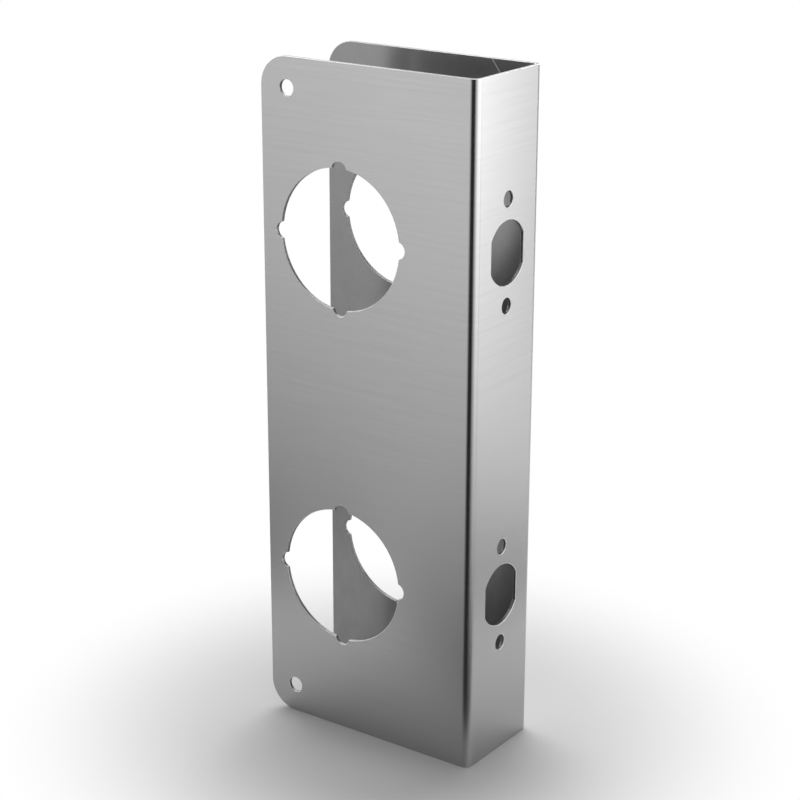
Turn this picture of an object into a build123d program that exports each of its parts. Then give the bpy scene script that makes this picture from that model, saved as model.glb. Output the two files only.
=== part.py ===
"""Wrap-around reinforcement plate for a door that carries two locks.

One steel sheet is bent twice into an open channel that slides over the edge of
the door leaf. Two flanges cover the faces of the leaf round the lock bores, and
the strip between them covers the edge of the leaf round the two latches.

Frame, in millimetres: X runs from the free edges of the flanges to the edge
strip, Y through the thickness of the door, and Z up. The origin is the middle
of the bottom of the plate.
"""

import os

from build123d import *

# Door leaf and its lock holes
DOOR_THICKNESS = 40.0
DOOR_PLAY = 0.5  # room between the leaf and each inside face
BACKSET = 60.3  # edge of the leaf to the axes of the lock bores
BORE_PITCH = 139.7  # from the lower bore to the upper one

# Sheet
SHEET = 1.5
BEND_INSIDE_RADIUS = 1.7
EDGE_BREAK = 0.2  # chamfer left by deburring on each cut edge

# Lock bores, through both flanges
BORE_DIAMETER = 56.0
NOTCH_RADIUS = 3.4
NOTCH_COUNT = 4  # above, below and on both sides of each bore
NOTCH_INSET = 0.9  # from the rim of the bore in to the centre of a notch

# Outline of the folded plate
HEIGHT = 276.0
RIM_TO_FREE_EDGE = 9.2  # metal left between a lock bore and the free edge
FREE_CORNER_RADIUS = 12.0

# Latch openings in the edge strip, round with two flats
LATCH_DIAMETER = 25.4
LATCH_ACROSS_FLATS = 22.2
LATCH_SCREW_PITCH = 41.3
LATCH_SCREW_DIAMETER = 6.4

# Screw holes in the free corners of the flanges
FLANGE_SCREW_DIAMETER = 6.4
FLANGE_SCREW_FROM_SIDE = 12.5
FLANGE_SCREW_FROM_END = 12.1

# Places that follow from the sizes
WIDTH = DOOR_THICKNESS + 2 * (DOOR_PLAY + SHEET)
STRIP_TO_BORE = SHEET + DOOR_PLAY + BACKSET
FLANGE_DEPTH = STRIP_TO_BORE + BORE_DIAMETER / 2 + RIM_TO_FREE_EDGE
STRIP_X = FLANGE_DEPTH / 2
FREE_X = -FLANGE_DEPTH / 2
BORE_X = STRIP_X - STRIP_TO_BORE
BORE_HEIGHTS = [HEIGHT / 2 - BORE_PITCH / 2, HEIGHT / 2 + BORE_PITCH / 2]


def channel_section():
    """U-shaped section of the folded sheet, open towards -X."""
    outside = Rectangle(FLANGE_DEPTH, WIDTH)
    outside_corners = outside.vertices().group_by(Axis.X)[-1]
    outside = fillet(outside_corners, BEND_INSIDE_RADIUS + SHEET)
    inside = Rectangle(FLANGE_DEPTH, WIDTH - 2 * SHEET)
    inside_corners = inside.vertices().group_by(Axis.X)[-1]
    inside = fillet(inside_corners, BEND_INSIDE_RADIUS)
    return outside - Pos(-SHEET, 0) * inside


def folded_sheet():
    """Channel at full height, with the free corners of both flanges rounded."""
    sheet = extrude(channel_section(), HEIGHT)
    free_corners = sheet.edges().filter_by(Axis.Y).group_by(Axis.X)[0]
    return fillet(free_corners, FREE_CORNER_RADIUS)


def through_flanges(outline):
    """Cutter that carries an outline, drawn in X and Z, through both flanges."""
    return extrude(Plane.XZ * outline, WIDTH, both=True)


def through_strip(outline):
    """Cutter that carries an outline, drawn in Y and Z, through the edge strip."""
    depth = SHEET + BEND_INSIDE_RADIUS
    return extrude(Plane.YZ.offset(STRIP_X) * outline, depth, both=True)


def lock_bores():
    """Two round bores with small round notches in their rims."""
    bore = Circle(BORE_DIAMETER / 2)
    rim = PolarLocations(BORE_DIAMETER / 2 - NOTCH_INSET, NOTCH_COUNT)
    bore += [place * Circle(NOTCH_RADIUS) for place in rim]
    return [through_flanges(Pos(BORE_X, height) * bore) for height in BORE_HEIGHTS]


def flange_screw_holes():
    """One hole in each free corner, through both flanges."""
    hole = Circle(FLANGE_SCREW_DIAMETER / 2)
    x = FREE_X + FLANGE_SCREW_FROM_SIDE
    heights = [FLANGE_SCREW_FROM_END, HEIGHT - FLANGE_SCREW_FROM_END]
    return [through_flanges(Pos(x, height) * hole) for height in heights]


def latch_openings():
    """Two round openings with flats that face the flanges, level with the bores."""
    between_flats = Rectangle(LATCH_ACROSS_FLATS, LATCH_DIAMETER)
    opening = Circle(LATCH_DIAMETER / 2) & between_flats
    return [through_strip(Pos(0, height) * opening) for height in BORE_HEIGHTS]


def latch_screw_holes():
    """A screw hole above and below each latch opening."""
    hole = Circle(LATCH_SCREW_DIAMETER / 2)
    pair = GridLocations(0, LATCH_SCREW_PITCH, 1, 2)
    return [
        through_strip(Pos(0, height) * place * hole)
        for height in BORE_HEIGHTS
        for place in pair
    ]


def cut_edges(sheet):
    """Edges where a skin of the sheet meets a cut wall, so not the bend lines."""
    skins = sheet.faces().sort_by(SortBy.AREA)[-10:]
    return [
        edge
        for edge in sheet.edges()
        if sum(edge in skin.edges() for skin in skins) == 1
    ]


def wrap_plate():
    """The finished plate: folded, pierced and deburred."""
    plate = folded_sheet()
    plate -= lock_bores() + flange_screw_holes()
    plate -= latch_openings() + latch_screw_holes()
    return chamfer(cut_edges(plate), EDGE_BREAK)


plate = wrap_plate()
plate.label = "wrap_plate"

os.makedirs("parts", exist_ok=True)
export_step(plate, "parts/wrap_plate.step")
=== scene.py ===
"""Wrap-around door plate in satin stainless steel, standing on a pale studio floor."""

import math

import bpy
from mathutils import Euler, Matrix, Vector


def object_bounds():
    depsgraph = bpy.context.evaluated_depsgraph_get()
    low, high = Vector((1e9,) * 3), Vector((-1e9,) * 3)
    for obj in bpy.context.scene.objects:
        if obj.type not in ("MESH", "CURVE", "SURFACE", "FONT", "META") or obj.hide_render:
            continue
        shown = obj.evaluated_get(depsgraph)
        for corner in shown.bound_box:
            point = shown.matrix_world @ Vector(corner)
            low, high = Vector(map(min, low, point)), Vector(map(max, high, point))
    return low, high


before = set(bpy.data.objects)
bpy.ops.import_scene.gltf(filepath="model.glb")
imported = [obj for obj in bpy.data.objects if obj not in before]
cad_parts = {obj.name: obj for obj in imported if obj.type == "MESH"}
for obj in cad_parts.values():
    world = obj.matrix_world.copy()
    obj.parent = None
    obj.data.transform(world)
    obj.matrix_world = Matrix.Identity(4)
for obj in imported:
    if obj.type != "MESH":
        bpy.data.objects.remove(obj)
cad_low, cad_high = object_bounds()

# Camera, in front, to the right and a little above
CAMERA_AIM = Vector((0.0005, 0.0, 0.1398))
CAMERA_DISTANCE = 0.8156
CAMERA_AZIMUTH = math.radians(35.41)
CAMERA_ELEVATION = math.radians(18.92)
CAMERA_ROLL = math.radians(0.14)
PICTURE_WIDTH = 800
FOCAL_PIXELS = 2048.8
SENSOR = 36.0
LENS = SENSOR * FOCAL_PIXELS / PICTURE_WIDTH
CLIP_START = 0.01
CLIP_END = 60.0

# Faces of the folded sheet, as distances from the middle of the plate
SHEET = 0.0015
OUTSIDE_BEND = 0.0032
OUTER_X = cad_high.x
OUTER_Y = cad_high.y
INNER_X = OUTER_X - SHEET
INNER_Y = OUTER_Y - SHEET
BEND_START_X = OUTER_X - OUTSIDE_BEND
BEND_START_Y = OUTER_Y - OUTSIDE_BEND
FACE_MARGIN = 0.0002  # what lies within this of a face is on it


def toward(azimuth, radius, height):
    """A place round the object; azimuth is counted from the front towards the right."""
    angle = math.radians(azimuth)
    return Vector((radius * math.sin(angle), -radius * math.cos(angle), height))


def between(stops, at):
    """Value at a place between the stops of a (place, value) list."""
    if at <= stops[0][0]:
        return stops[0][1]
    for (low, first), (high, second) in zip(stops, stops[1:]):
        if at <= high:
            return first + (second - first) * (at - low) / (high - low)
    return stops[-1][1]


def empty_material(name):
    """A new material with no nodes, and its node tree."""
    material = bpy.data.materials.new(name)
    material.use_nodes = True
    material.node_tree.nodes.clear()
    return material, material.node_tree


def add_node(tree, kind, inputs=(), **settings):
    """A node with its settings; an input is a socket to link, a value, or None to leave."""
    node = tree.nodes.new(kind)
    for name, value in settings.items():
        setattr(node, name, value)
    for socket, value in zip(node.inputs, inputs):
        if isinstance(value, bpy.types.NodeSocket):
            tree.links.new(value, socket)
        elif value is not None:
            socket.default_value = value
    return node


def calc(tree, operation, *values):
    """Result of one math operation on numbers or sockets."""
    return add_node(tree, "ShaderNodeMath", values, operation=operation).outputs[0]


def dot(tree, first, second):
    """Dot product of two vectors or sockets."""
    node = add_node(tree, "ShaderNodeVectorMath", (first, second), operation="DOT_PRODUCT")
    return node.outputs["Value"]


def span(tree, value, low, high, to_low=0.0, to_high=1.0, **settings):
    """Value carried from low..high to to_low..to_high, and held at the ends."""
    inputs = (value, low, high, to_low, to_high)
    return add_node(tree, "ShaderNodeMapRange", inputs, **settings).outputs[0]


def blend(tree, share, first, second):
    """Number between two numbers or sockets."""
    return add_node(tree, "ShaderNodeMix", (share, None, first, second)).outputs[0]


# Noise, which is weakest on the planes of its lattice
NOISE_START = (3.31, 5.73, 7.19)  # keeps those planes away from the origin
LACUNARITY = 2.17  # keeps the levels of detail from sharing them
NOISE_MIDDLE = 0.5


def noise(tree, place, scale, detail):
    """Noise about its middle whose cells are 1 / scale metres long in X, Y and Z."""
    stretched = add_node(tree, "ShaderNodeMapping", (place, NOISE_START, None, scale))
    texture = add_node(tree, "ShaderNodeTexNoise", (stretched.outputs[0],))
    texture.inputs["Scale"].default_value = 1.0
    texture.inputs["Detail"].default_value = detail
    texture.inputs["Lacunarity"].default_value = LACUNARITY
    return texture.outputs["Fac"]


def vary(tree, value, texture, reach, amount):
    """Value moved by up to an amount either way, as a noise strays by its reach."""
    low = NOISE_MIDDLE - reach
    high = NOISE_MIDDLE + reach
    return calc(tree, "ADD", value, span(tree, texture, low, high, -amount, amount))


def make_camera():
    """Camera that frames the object as the photograph does."""
    data = bpy.data.cameras.new("camera")
    data.sensor_width = SENSOR
    data.lens = LENS
    data.clip_start = CLIP_START
    data.clip_end = CLIP_END
    camera = bpy.data.objects.new("camera", data)
    bpy.context.scene.collection.objects.link(camera)
    bpy.context.scene.camera = camera
    flat = math.cos(CAMERA_ELEVATION)
    back = Vector(
        (
            math.sin(CAMERA_AZIMUTH) * flat,
            -math.cos(CAMERA_AZIMUTH) * flat,
            math.sin(CAMERA_ELEVATION),
        )
    )
    camera.location = CAMERA_AIM + back * CAMERA_DISTANCE
    turn = (-back).to_track_quat("-Z", "Y")
    roll = Euler((0, 0, CAMERA_ROLL)).to_quaternion()
    camera.rotation_mode = "QUATERNION"
    camera.rotation_quaternion = turn @ roll


# Tones and roughness of the brushed skin, the mill skin inside, cut walls and deburred edges;
# the darker tones inside and on the cut walls are painted shade, and the light edge tone is a
# painted highlight
SKIN_TONE = 0.40
# Darker tone inside the channel: painted shade
INSIDE_SHADE_TONE = 0.265
# Dark tone of the cut walls: painted shade, varied by grit
WALL_SHADE_TONE = 0.2
# Light tone of the deburred edges: a painted highlight
EDGE_HIGHLIGHT_TONE = 0.8
SKIN_ROUGHNESS = 0.26
INSIDE_ROUGHNESS = 0.30
WALL_ROUGHNESS = 0.5
EDGE_ROUGHNESS = 0.6

# Stretch of the highlights by the brushing, and their turn as a share of a full circle
ANISOTROPY = 0.85
ACROSS_GRAIN = 0.25

# How far a face's normal agrees with the skin's, from 0 to 1
WALL_BELOW = 0.5  # less is a cut wall
SKIN_ABOVE = 0.9  # more is skin, and what lies between is a deburred edge

# Noises of the steel, as cells per metre in X, Y and Z, and levels of detail
HAIR = ((25, 25, 900), 1.0)  # fine brush lines
BRUSH = ((9, 9, 320), 2.0)  # broad brush lines
WAVE = ((11, 11, 8), 1.0)  # slow waves of the sheet
CLOUD = ((14, 14, 9), 2.0)  # patches of roughness
MOTTLE = ((150, 150, 110), 2.0)  # spots of the mill skin
GRIT = ((1500, 1500, 1500), 3.0)  # sheared walls of the cuts

# How far the noises of lines and of patches stray from their middle before they are held
LINE_REACH = 0.25
PATCH_REACH = 0.2

# How far each noise moves a tone or a roughness either way
HAIR_TONE = 0.008
BRUSH_TONE = 0.003
MOTTLE_TONE = 0.015
GRIT_TONE = 0.08
CLOUD_ROUGHNESS = 0.012
MOTTLE_ROUGHNESS = 0.012

# Depth of the grit in metres, and how many times deeper the slow waves are
GRIT_DEPTH = 0.00002
WAVE_TO_GRIT = 8.0

# Thin bright line on the rear flange's inner face
BRIGHT_LINE_START = Vector((0.0281, INNER_Y, 0.2757))
BRIGHT_LINE_END = Vector((0.0320, INNER_Y, 0.2706))
BRIGHT_LINE_WIDTH = 0.00035
BRIGHT_LINE_TONE = 0.9


def plate_zones(tree, place, facing):
    """Shares of a point in the mill skin inside, in a cut wall and in a deburred edge, the
    zones that get painted shade inside and on the walls and a painted highlight on the edges.
    """
    x, y, _ = add_node(tree, "ShaderNodeSeparateXYZ", (place,)).outputs
    depth = calc(tree, "ABSOLUTE", y)
    inside_y = calc(tree, "LESS_THAN", depth, INNER_Y + FACE_MARGIN)
    inside_x = calc(tree, "LESS_THAN", x, INNER_X + FACE_MARGIN)
    inside = calc(tree, "MULTIPLY", inside_y, inside_x)

    normal_x, normal_y, normal_z = add_node(tree, "ShaderNodeSeparateXYZ", (facing,)).outputs
    on_flange = calc(tree, "LESS_THAN", x, BEND_START_X)
    on_strip = calc(tree, "LESS_THAN", depth, BEND_START_Y)
    bend_share = calc(tree, "SUBTRACT", 1.0, calc(tree, "MULTIPLY", normal_z, normal_z))
    bend_share = calc(tree, "SQRT", bend_share)
    share = blend(tree, on_strip, bend_share, calc(tree, "ABSOLUTE", normal_x))
    share = blend(tree, on_flange, share, calc(tree, "ABSOLUTE", normal_y))
    wall = calc(tree, "LESS_THAN", share, WALL_BELOW)
    skin = calc(tree, "GREATER_THAN", share, SKIN_ABOVE)
    edge = calc(tree, "SUBTRACT", calc(tree, "SUBTRACT", 1.0, wall), skin)
    return inside, wall, edge


def bright_line_share(tree, place):
    """1 on the thin bright line across the rear flange's inner face, near the fold."""
    run = BRIGHT_LINE_END - BRIGHT_LINE_START
    way = run.normalized()
    flange_normal = Vector((0, 1, 0))
    side = way.cross(flange_normal)
    from_start = (place, BRIGHT_LINE_START)
    away = add_node(tree, "ShaderNodeVectorMath", from_start, operation="SUBTRACT").outputs[0]
    off_line = calc(tree, "ABSOLUTE", dot(tree, away, side))
    off_middle = calc(tree, "SUBTRACT", dot(tree, away, way), run.length / 2)
    near_line = calc(tree, "LESS_THAN", off_line, BRIGHT_LINE_WIDTH / 2)
    near_middle = calc(tree, "LESS_THAN", calc(tree, "ABSOLUTE", off_middle), run.length / 2)
    off_face = calc(tree, "ABSOLUTE", dot(tree, away, flange_normal))
    on_face = calc(tree, "LESS_THAN", off_face, FACE_MARGIN)
    return calc(tree, "MULTIPLY", calc(tree, "MULTIPLY", near_line, near_middle), on_face)


def steel_tone(tree, place, zones, bright_line, mottle, grit):
    """Reflectance of a point, from its zone of the plate and the noises there, with painted
    shade inside the channel and in the cut walls and a painted highlight on the edges.
    """
    inside, wall, edge = zones
    brushed = vary(tree, SKIN_TONE, noise(tree, place, *BRUSH), LINE_REACH, BRUSH_TONE)
    brushed = vary(tree, brushed, noise(tree, place, *HAIR), LINE_REACH, HAIR_TONE)
    # Painted shade: the inside of the channel darker than the skin, with spots of the mill
    # skin
    milled = vary(tree, INSIDE_SHADE_TONE, mottle, PATCH_REACH, MOTTLE_TONE)
    # Painted shade in the cut walls, varied by grit
    wall_shade = vary(tree, WALL_SHADE_TONE, grit, PATCH_REACH, GRIT_TONE)
    tone = blend(tree, inside, brushed, milled)
    tone = blend(tree, wall, tone, wall_shade)
    # Painted highlight on the deburred edges
    tone = blend(tree, edge, tone, EDGE_HIGHLIGHT_TONE)
    return blend(tree, bright_line, tone, BRIGHT_LINE_TONE)


def steel_roughness(tree, place, zones, bright_line, mottle):
    """Roughness of a point, from its zone of the plate and the noises there."""
    inside, wall, edge = zones
    cloud = noise(tree, place, *CLOUD)
    brushed = vary(tree, SKIN_ROUGHNESS, cloud, PATCH_REACH, CLOUD_ROUGHNESS)
    milled = vary(tree, INSIDE_ROUGHNESS, mottle, PATCH_REACH, MOTTLE_ROUGHNESS)
    rough = blend(tree, inside, brushed, milled)
    rough = blend(tree, wall, rough, WALL_ROUGHNESS)
    return blend(tree, calc(tree, "MAXIMUM", edge, bright_line), rough, EDGE_ROUGHNESS)


def steel_relief(tree, place, zones, grit):
    """Normal bent by the sheet's slow waves, and in the cut walls by grit."""
    _, wall, _ = zones
    waves = calc(tree, "MULTIPLY", noise(tree, place, *WAVE), WAVE_TO_GRIT)
    bump = add_node(tree, "ShaderNodeBump")
    bump.inputs["Strength"].default_value = 1.0
    bump.inputs["Distance"].default_value = GRIT_DEPTH
    tree.links.new(blend(tree, wall, waves, grit), bump.inputs["Height"])
    return bump.outputs[0]


def satin_steel():
    """Steel brushed across the width and round the folds, with a duller skin inside, painted
    shade inside the channel and in the cut walls, and a painted highlight on the edges.
    """
    material, tree = empty_material("satin_stainless")
    coords = add_node(tree, "ShaderNodeTexCoord")
    place = coords.outputs["Object"]
    zones = plate_zones(tree, place, coords.outputs["Normal"])
    bright_line = bright_line_share(tree, place)
    mottle = noise(tree, place, *MOTTLE)
    grit = noise(tree, place, *GRIT)
    tone = steel_tone(tree, place, zones, bright_line, mottle, grit)
    rough = steel_roughness(tree, place, zones, bright_line, mottle)
    relief = steel_relief(tree, place, zones, grit)

    colour = add_node(tree, "ShaderNodeCombineXYZ", (tone, tone, tone))
    tangent = add_node(tree, "ShaderNodeTangent", direction_type="RADIAL", axis="Z")
    shader = add_node(tree, "ShaderNodeBsdfPrincipled")
    shader.inputs["Metallic"].default_value = 1.0
    shader.inputs["Anisotropic"].default_value = ANISOTROPY
    shader.inputs["Anisotropic Rotation"].default_value = ACROSS_GRAIN
    tree.links.new(colour.outputs[0], shader.inputs["Base Color"])
    tree.links.new(rough, shader.inputs["Roughness"])
    tree.links.new(relief, shader.inputs["Normal"])
    tree.links.new(tangent.outputs[0], shader.inputs["Tangent"])
    add_node(tree, "ShaderNodeOutputMaterial", (shader.outputs[0],))
    return material


# Cards round the object, which stand for the studio that the steel mirrors
FOLD = Vector((0.048, -0.020, 0))  # foot of the near fold, where the cards' distances start
AZIMUTHS = range(-90, 181)
CARD_HEIGHT = 0.001
CARD_GAP = 0.004  # from the floor that the camera sees
WALL_RADIUS = 2.4
GROUND_STEPS = [0, 0.06, 0.12, 0.2, 0.32, 0.5, 0.75, 1.1, 1.6, 2.4]
WALL_HEIGHTS = [0, 0.15, 0.3, 0.45, 0.6, 1.0, 1.5, 2.2]

# Floor that the camera sees
VIEW_NEAR = 0.0706  # its reach from the origin towards the camera
VIEW_HALF = 0.1545  # half its width there
VIEW_SPREAD = 0.187  # what that half gains with each metre away from the camera

# Left side of the studio, as (distance, tone) and (height, tone), where a tone of 1 is white
LEFT_GROUND = [
    (0.1, 0.14),
    (0.15, 0.2),
    (0.22, 0.45),
    (0.3, 0.72),
    (0.42, 0.86),
    (0.6, 0.95),
    (0.8, 1.13),
    (1.2, 1.45),
    (2.5, 1.72),
]
LEFT_SPREAD = 0.805  # the distance ahead of the flange is divided by this
LEFT_WALL = [(0, 1.78), (0.15, 1.84), (0.3, 1.22), (0.6, 0.3), (2, 0.2)]

# Right side of the studio, as (distance, tone) and (height, tone)
RIGHT_GROUND = [
    (0.12, 0.05),
    (0.18, 0.1),
    (0.24, 0.65),
    (0.3, 1.0),
    (0.4, 1.15),
    (0.5, 1.18),
    (0.65, 1.28),
    (0.8, 1.46),
    (1.2, 2.05),
    (2.5, 3.0),
]
RIGHT_WALL = [(0, 2.75), (0.3, 2.65), (0.6, 1.9), (1.0, 1.0), (2, 0.7)]

# Factor on the right side's tones by azimuth, and how much of it counts at a distance
RIGHT_FADE = [(122, 1.6), (129, 1.12), (139, 1.12), (142.5, 1.68), (145.5, 1.65), (149.6, 0.3)]
FADE_SHARE = [(0.35, 0), (1.0, 1)]

# Shares of the two sides by azimuth; the dark front has what they leave
LEFT_SHARE = [(-90, 0.7), (-56, 0.78), (-42, 0.93), (-36, 1.03), (-30, 1.03), (-6, 0)]
RIGHT_SHARE = [(32, 0), (52, 0.35), (85, 0.88), (134, 0.88), (142, 1), (180, 1)]
FRONT_TONE = 0.03


def view_reach(azimuth):
    """How far the camera sees the floor from the near fold along an azimuth."""
    across = Vector((math.cos(CAMERA_AZIMUTH), math.sin(CAMERA_AZIMUTH), 0))
    nearer = Vector((math.sin(CAMERA_AZIMUTH), -math.cos(CAMERA_AZIMUTH), 0))
    way = toward(azimuth, 1, 0)
    room = VIEW_NEAR - FOLD.dot(nearer)
    half = VIEW_HALF + VIEW_SPREAD * room
    # Room before the near, left and right edge of the picture, and how fast it is used up
    gaps = [
        (room, way.dot(nearer)),
        (half + FOLD.dot(across), VIEW_SPREAD * way.dot(nearer) - way.dot(across)),
        (half - FOLD.dot(across), VIEW_SPREAD * way.dot(nearer) + way.dot(across)),
    ]
    return min(gap / speed for gap, speed in gaps if speed > 0)


def mixed_tone(azimuth, radius, left, right):
    """Tone of the studio at an azimuth, from its left side, dark front and right side."""
    left_share = between(LEFT_SHARE, azimuth)
    right_share = between(RIGHT_SHARE, azimuth)
    fade = 1 + (between(RIGHT_FADE, azimuth) - 1) * between(FADE_SHARE, radius)
    front_share = max(0, 1 - left_share - right_share)
    return FRONT_TONE * front_share + left * left_share + right * fade * right_share


def ground_row(azimuth):
    """Places and tones along an azimuth, from the edge of the seen floor to the wall."""
    start = view_reach(azimuth) + CARD_GAP
    row = []
    for step in GROUND_STEPS:
        radius = start + (WALL_RADIUS - start) * step / GROUND_STEPS[-1]
        place = FOLD + toward(azimuth, radius, CARD_HEIGHT)
        left = between(LEFT_GROUND, (FOLD.y - place.y) / LEFT_SPREAD)
        right = between(RIGHT_GROUND, radius)
        row.append((place, mixed_tone(azimuth, radius, left, right)))
    return row


def wall_row(azimuth):
    """Places and tones up the wall at an azimuth."""
    row = []
    for height in WALL_HEIGHTS:
        place = FOLD + toward(azimuth, WALL_RADIUS, height)
        left = between(LEFT_WALL, height)
        right = between(RIGHT_WALL, height)
        row.append((place, mixed_tone(azimuth, WALL_RADIUS, left, right)))
    return row


def card_material():
    """Glow that each point of a card carries as an attribute."""
    material, tree = empty_material("card")
    tone = add_node(tree, "ShaderNodeAttribute", attribute_name="tone")
    glow = add_node(tree, "ShaderNodeEmission", (None, tone.outputs["Fac"]))
    add_node(tree, "ShaderNodeOutputMaterial", (glow.outputs[0],))
    return material


def studio_card(name, rows, material):
    """A lit or dark card, seen by reflections alone; each row holds (place, tone)."""
    wide = len(rows[0])
    points = [place for row in rows for place, _ in row]
    tones = [tone for row in rows for _, tone in row]
    faces = [
        (i * wide + j, i * wide + j + 1, (i + 1) * wide + j + 1, (i + 1) * wide + j)
        for i in range(len(rows) - 1)
        for j in range(wide - 1)
    ]
    mesh = bpy.data.meshes.new(name)
    mesh.from_pydata(points, [], faces)
    mesh.attributes.new("tone", "FLOAT", "POINT").data.foreach_set("value", tones)
    mesh.materials.append(material)
    card = bpy.data.objects.new(name, mesh)
    bpy.context.scene.collection.objects.link(card)
    card.visible_camera = False
    card.visible_diffuse = False
    card.visible_shadow = False


def surround_cards():
    """A ground round the floor that the camera sees, and a wall behind it."""
    material = card_material()
    studio_card("ground_card", [ground_row(azimuth) for azimuth in AZIMUTHS], material)
    studio_card("wall_card", [wall_row(azimuth) for azimuth in AZIMUTHS], material)


# Floor, which turns from its own tone to white between two distances from its middle, so that
# its darker own tone near the middle is a painted grey pool of shade round the object's foot
FLOOR_SIZE = 30.0
FLOOR_TONE = 0.52
FLOOR_ROUGHNESS = 0.9
FADE_START = 0.06
FADE_END = 0.17

# Strength of the world as a light; where it is seen its strength is 1
WORLD_LIGHT = 0.5


def seen_share(tree):
    """1 for a ray from the camera, a mirror or glass, and 0 for a lighting ray."""
    path = add_node(tree, "ShaderNodeLightPath").outputs
    seen = calc(tree, "MAXIMUM", path["Is Camera Ray"], path["Is Glossy Ray"])
    return calc(tree, "MAXIMUM", seen, path["Is Transmission Ray"])


def make_floor():
    """Pale floor that keeps the real shadow near the object inside a painted grey pool of
    shade, and runs into white far from it.
    """
    bpy.ops.mesh.primitive_plane_add(size=FLOOR_SIZE)
    floor = bpy.context.object
    floor.name = "floor"
    material, tree = empty_material("floor")
    place = add_node(tree, "ShaderNodeTexCoord").outputs["Object"]
    length = add_node(tree, "ShaderNodeVectorMath", (place,), operation="LENGTH")
    distance = length.outputs["Value"]
    # Painted shade: the floor near the object stays at its own darker tone, and turns white
    # beyond
    far = span(tree, distance, FADE_START, FADE_END, interpolation_type="SMOOTHSTEP")
    share = calc(tree, "MULTIPLY", far, seen_share(tree))
    paint = add_node(tree, "ShaderNodeBsdfPrincipled")
    paint.inputs["Base Color"].default_value = (FLOOR_TONE, FLOOR_TONE, FLOOR_TONE, 1)
    paint.inputs["Roughness"].default_value = FLOOR_ROUGHNESS
    white = add_node(tree, "ShaderNodeEmission")
    mixed = add_node(tree, "ShaderNodeMixShader", (share, paint.outputs[0], white.outputs[0]))
    add_node(tree, "ShaderNodeOutputMaterial", (mixed.outputs[0],))
    floor.data.materials.append(material)


def make_world():
    """White to the camera and to mirrors, and a softer light to all else."""
    world = bpy.data.worlds.new("studio")
    bpy.context.scene.world = world
    world.use_nodes = True
    tree = world.node_tree
    strength = blend(tree, seen_share(tree), WORLD_LIGHT, 1.0)
    background = tree.nodes["Background"]
    background.inputs["Color"].default_value = (1, 1, 1, 1)
    tree.links.new(strength, background.inputs["Strength"])


# Key lamp, behind the object on its left
KEY_AZIMUTH = 222
KEY_RADIUS = 1.6
KEY_HEIGHT = 1.7
KEY_AIM_RADIUS = 0.6
KEY_WIDTH = 3.0
KEY_DEPTH = 2.0
KEY_RADIANCE = 3.6


def make_key_lamp():
    """Wide soft lamp that looks down at the floor behind the object."""
    data = bpy.data.lights.new("key_lamp", "AREA")
    data.shape = "RECTANGLE"
    data.size = KEY_WIDTH
    data.size_y = KEY_DEPTH
    data.energy = KEY_RADIANCE * math.pi * KEY_WIDTH * KEY_DEPTH
    lamp = bpy.data.objects.new("key_lamp", data)
    bpy.context.scene.collection.objects.link(lamp)
    place = toward(KEY_AZIMUTH, KEY_RADIUS, KEY_HEIGHT)
    aim = toward(KEY_AZIMUTH, KEY_AIM_RADIUS, 0)
    lamp.location = place
    lamp.rotation_mode = "QUATERNION"
    lamp.rotation_quaternion = (aim - place).to_track_quat("-Z", "Y")
    lamp.visible_camera = False


bpy.context.scene.view_settings.view_transform = "Standard"
make_camera()
make_floor()
make_world()
surround_cards()
make_key_lamp()

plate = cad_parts["wrap_plate"]
plate.data.materials.clear()
plate.data.materials.append(satin_steel())
